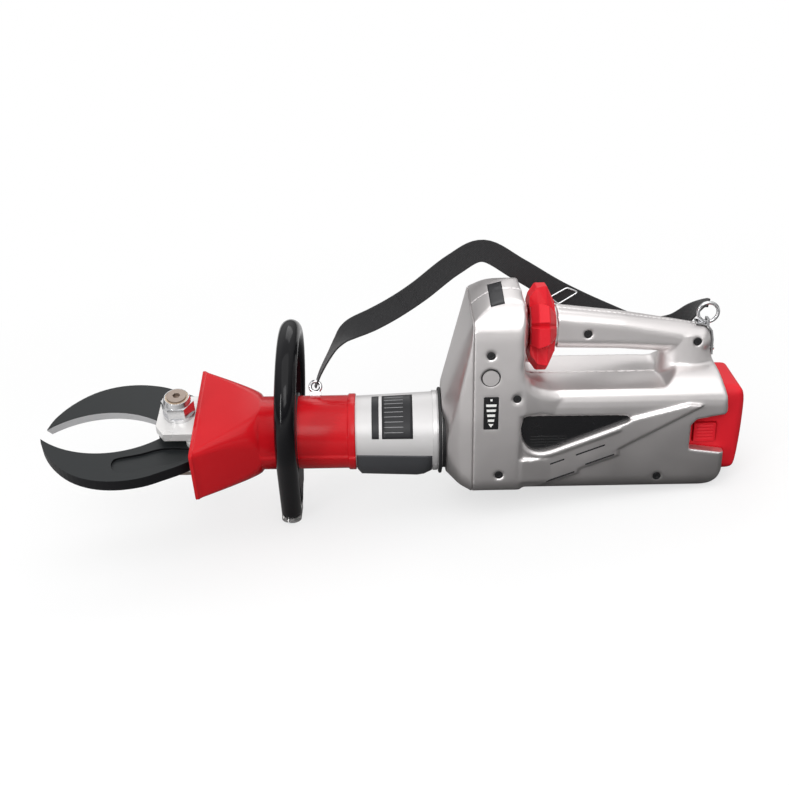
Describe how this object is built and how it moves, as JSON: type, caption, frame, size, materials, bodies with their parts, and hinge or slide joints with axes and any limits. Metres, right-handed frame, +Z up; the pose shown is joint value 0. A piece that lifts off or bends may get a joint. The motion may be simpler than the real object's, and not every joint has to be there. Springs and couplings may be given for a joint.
{
  "type": "battery hydraulic rescue cutter",
  "caption": "Battery-powered hydraulic cutter with curved shear blades, flared guard, round barrel, loop front handle, star-grip control, rear handle, pull-out battery and carrying strap.",
  "frame": {"origin": "on the floor under the middle of the tool (strap left out), where it stands on its handle foot and the rear edge of its case", "axes": "+X from the blades to the battery, level; +Z up; the barrel points nose-up by the stance angle"},
  "size_m": [0.7905, 0.1834, 0.285],
  "materials": {
    "blade_steel": "black satin coating",
    "bright_steel": "bright plated steel",
    "nylon": "nylon",
    "yoke_steel": "machined steel",
    "bronze": "bronze",
    "seal_rubber": "rubber",
    "red_guard": "glossy soft plastic",
    "red_plastic": "moulded plastic",
    "silver_paint": "silver paint",
    "collar_metal": "turned aluminium",
    "handle_rubber": "satin rubber",
    "black_metal": "black",
    "silver_case": "silver-painted plastic",
    "grey_case": "grey plastic",
    "black_plastic": "black plastic",
    "board": "circuit board",
    "pump_metal": "cast aluminium",
    "motor_black": "black",
    "webbing": "woven webbing"
  },
  "bodies": {
    "frame": {"pivot_bolt": "bright_steel", "pivot_nut": "bright_steel", "nut_insert": "nylon", "pivot_washers": "bright_steel", "yoke": "yoke_steel", "rod_gland": "bronze", "cylinder": "yoke_steel", "guard_boot": "red_guard", "silver_barrel": "silver_paint", "collar_ring": "collar_metal", "seal_ring": "seal_rubber", "handle_bar": "bright_steel", "handle_sleeve": "handle_rubber", "handle_foot": "bright_steel", "handle_clamp": "black_metal", "strap_eye": "bright_steel", "front_cover": "grey_case", "left_shell": "silver_case", "right_shell": "silver_case", "left_window_panel": "black_plastic", "right_window_panel": "black_plastic", "case_screws": "black_metal", "charge_gauge": "black_plastic", "control_board": "board", "core_tube": "bright_steel", "grip_collar": "collar_metal", "pump_block": "pump_metal", "gearbox": "yoke_steel", "motor": "motor_black", "terminal_block": "black_plastic", "strap_ring": "bright_steel", "ring_bracket": "bright_steel", "carry_strap": "webbing", "strap_buckle": "bright_steel"},
    "upper_blade": {"upper_blade": "blade_steel", "upper_blade_pin": "bright_steel"},
    "lower_blade": {"lower_blade": "blade_steel", "lower_blade_pin": "bright_steel"},
    "ram": {"crosshead": "yoke_steel", "crosshead_pins": "bright_steel", "piston_rod": "bright_steel", "piston": "yoke_steel", "piston_seal": "seal_rubber"},
    "upper_link": {"upper_link": "yoke_steel"},
    "lower_link": {"lower_link": "yoke_steel"},
    "star_control": {"star_grip": "red_plastic", "valve_spindle": "bright_steel"},
    "battery": {"battery_pack": "red_plastic"},
    "left_tab": {"left_release_tab": "red_plastic"},
    "right_tab": {"right_release_tab": "red_plastic"},
    "button": {"power_button": "silver_case"},
    "rotor": {"motor_shaft": "bright_steel"}
  },
  "joints": [
    {"name": "upper_blade_swing", "type": "hinge", "parent": "frame", "child": "upper_blade", "pos_m": [-0.23698, 0, 0.12201], "axis": [-0.1122, 0.2756, -0.9547], "range_deg": [-7, 17]},
    {"name": "lower_blade_swing", "type": "hinge", "parent": "frame", "child": "lower_blade", "pos_m": [-0.23698, 0, 0.12201], "axis": [-0.1122, 0.2756, -0.9547], "range_deg": [-17, 7]},
    {"name": "ram_slide", "type": "slide", "parent": "frame", "child": "ram", "axis": [-0.9932, 0, 0.1167], "range_m": [-0.00935, 0.00391]},
    {"name": "upper_link_pivot", "type": "hinge", "parent": "ram", "child": "upper_link", "pos_m": [-0.16756, 0.0173, 0.11885], "axis": [-0.1122, 0.2756, -0.9547], "range_deg": [-9, 4]},
    {"name": "lower_link_pivot", "type": "hinge", "parent": "ram", "child": "lower_link", "pos_m": [-0.16872, -0.0173, 0.10899], "axis": [-0.1122, 0.2756, -0.9547], "range_deg": [-4, 9]},
    {"name": "star_grip_turn", "type": "hinge", "parent": "frame", "child": "star_control", "pos_m": [0.17797, 0, 0.20013], "axis": [0.9932, 0, -0.1167], "range_deg": [-30, 30], "stiffness_Nm_per_rad": 1.2},
    {"name": "battery_slide", "type": "slide", "parent": "frame", "child": "battery", "axis": [0.9932, 0, -0.1167], "range_m": [0, 0.112]},
    {"name": "left_tab_press", "type": "slide", "parent": "battery", "child": "left_tab", "axis": [0, 1, 0], "range_m": [0, 0.003], "stiffness_N_per_m": 1500},
    {"name": "right_tab_press", "type": "slide", "parent": "battery", "child": "right_tab", "axis": [0, -1, 0], "range_m": [0, 0.003], "stiffness_N_per_m": 1500},
    {"name": "power_button_press", "type": "slide", "parent": "frame", "child": "button", "axis": [0, 1, 0], "range_m": [0, 0.0009], "stiffness_N_per_m": 2000},
    {"name": "motor_spin", "type": "hinge", "parent": "frame", "child": "rotor", "pos_m": [0.18313, 0, 0.07265], "axis": [0.9932, 0, -0.1167], "continuous": true}
  ],
  "couplings": [
    {"joint": "lower_blade_swing", "follows": "upper_blade_swing", "ratio": -1},
    {"joint": "ram_slide", "follows": "upper_blade_swing", "m_per_rad": -0.03118},
    {"joint": "upper_link_pivot", "follows": "upper_blade_swing", "ratio": -0.4812},
    {"joint": "lower_link_pivot", "follows": "upper_blade_swing", "ratio": 0.4812}
  ]
}
